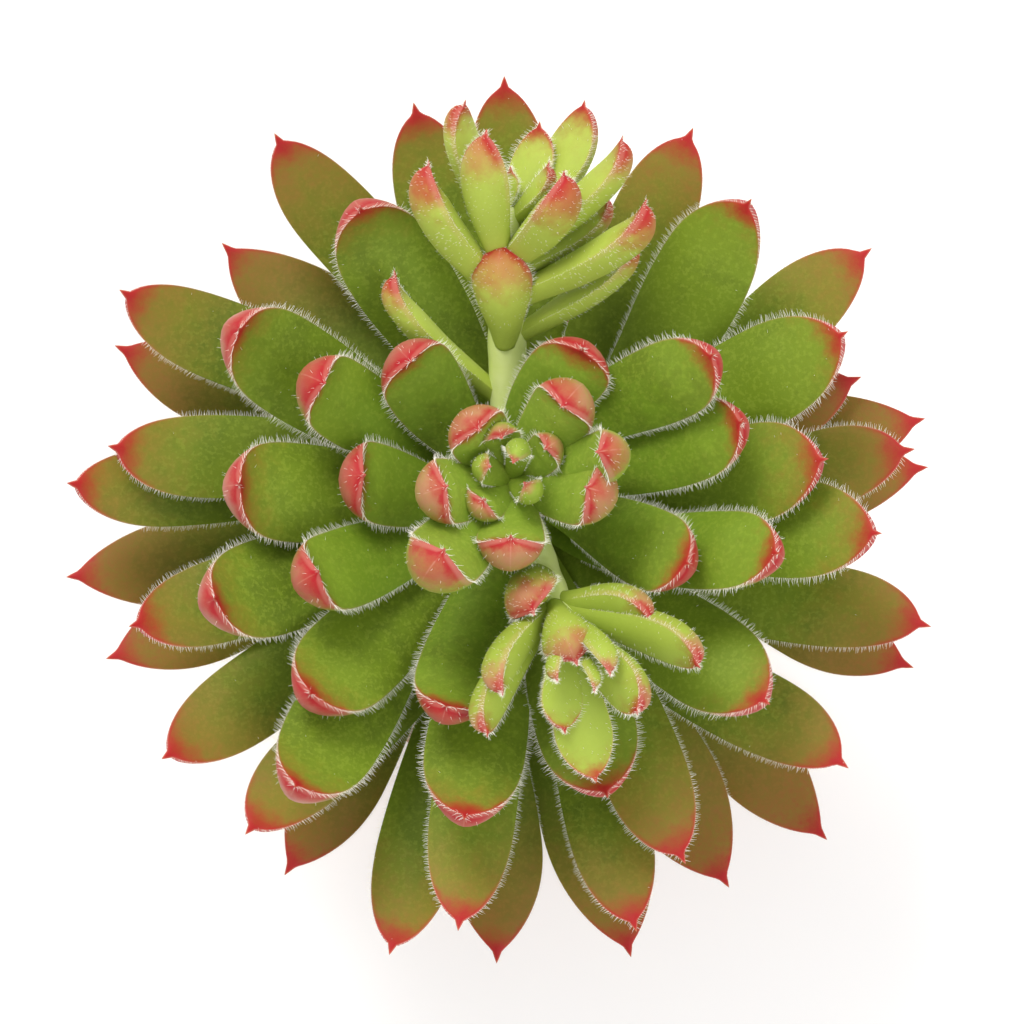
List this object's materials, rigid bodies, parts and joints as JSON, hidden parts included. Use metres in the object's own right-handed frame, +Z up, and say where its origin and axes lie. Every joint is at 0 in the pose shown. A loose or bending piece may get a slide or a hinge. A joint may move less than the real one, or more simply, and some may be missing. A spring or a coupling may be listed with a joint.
{
  "type": "potted rosette succulent",
  "caption": "Hairy rosette succulent with fleshy red-tipped leaves and two side rosettes, growing in a plain round pot that stands on its flat base.",
  "frame": {"origin": "centre of the pot's underside, on the pot's axis", "axes": "+Z up along the pot's axis; +Y towards the side where the upper offset leans out"},
  "size_m": [0.1277, 0.1282, 0.1296],
  "materials": {
    "leaf": "fleshy green leaf with fine white hairs and red tip",
    "old_leaf": "older leaf, green turning orange-brown, red tip",
    "young_leaf": "pale yellow-green young leaf, downy, red tip",
    "stem": "green-brown stem with leaf scars",
    "soil": "gritty potting mix",
    "pot": "unglazed terracotta"
  },
  "bodies": {
    "root": {"heart": "leaf", "lower_offset": "young_leaf", "middle_leaf_01": "leaf", "middle_leaf_02": "leaf", "middle_leaf_03": "leaf", "middle_leaf_04": "leaf", "middle_leaf_05": "leaf", "middle_leaf_06": "leaf", "middle_leaf_07": "leaf", "middle_leaf_08": "leaf", "middle_leaf_09": "leaf", "middle_leaf_10": "leaf", "middle_leaf_11": "leaf", "middle_leaf_12": "leaf", "middle_leaf_13": "leaf", "oldest_leaf_01": "old_leaf", "oldest_leaf_02": "old_leaf", "oldest_leaf_03": "old_leaf", "oldest_leaf_04": "old_leaf", "oldest_leaf_05": "old_leaf", "oldest_leaf_06": "old_leaf", "oldest_leaf_07": "old_leaf", "oldest_leaf_08": "old_leaf", "oldest_leaf_09": "old_leaf", "oldest_leaf_10": "old_leaf", "oldest_leaf_11": "old_leaf", "oldest_leaf_12": "old_leaf", "oldest_leaf_13": "old_leaf", "outer_leaf_01": "leaf", "outer_leaf_02": "leaf", "outer_leaf_03": "leaf", "outer_leaf_04": "leaf", "outer_leaf_05": "leaf", "outer_leaf_06": "leaf", "outer_leaf_07": "leaf", "outer_leaf_08": "leaf", "outer_leaf_09": "leaf", "outer_leaf_10": "leaf", "outer_leaf_11": "leaf", "outer_leaf_12": "leaf", "outer_leaf_13": "leaf", "outer_leaf_14": "leaf", "outer_leaf_15": "leaf", "outer_leaf_16": "leaf", "outer_leaf_17": "leaf", "outer_leaf_18": "leaf", "pot": "pot", "soil": "soil", "stem": "stem", "upper_leaf_01": "leaf", "upper_leaf_02": "leaf", "upper_leaf_03": "leaf", "upper_leaf_04": "leaf", "upper_leaf_05": "leaf", "upper_leaf_06": "leaf", "upper_leaf_07": "leaf", "upper_leaf_08": "leaf", "upper_leaf_09": "leaf", "upper_leaf_10": "leaf", "upper_offset": "young_leaf"}
  },
  "joints": []
}
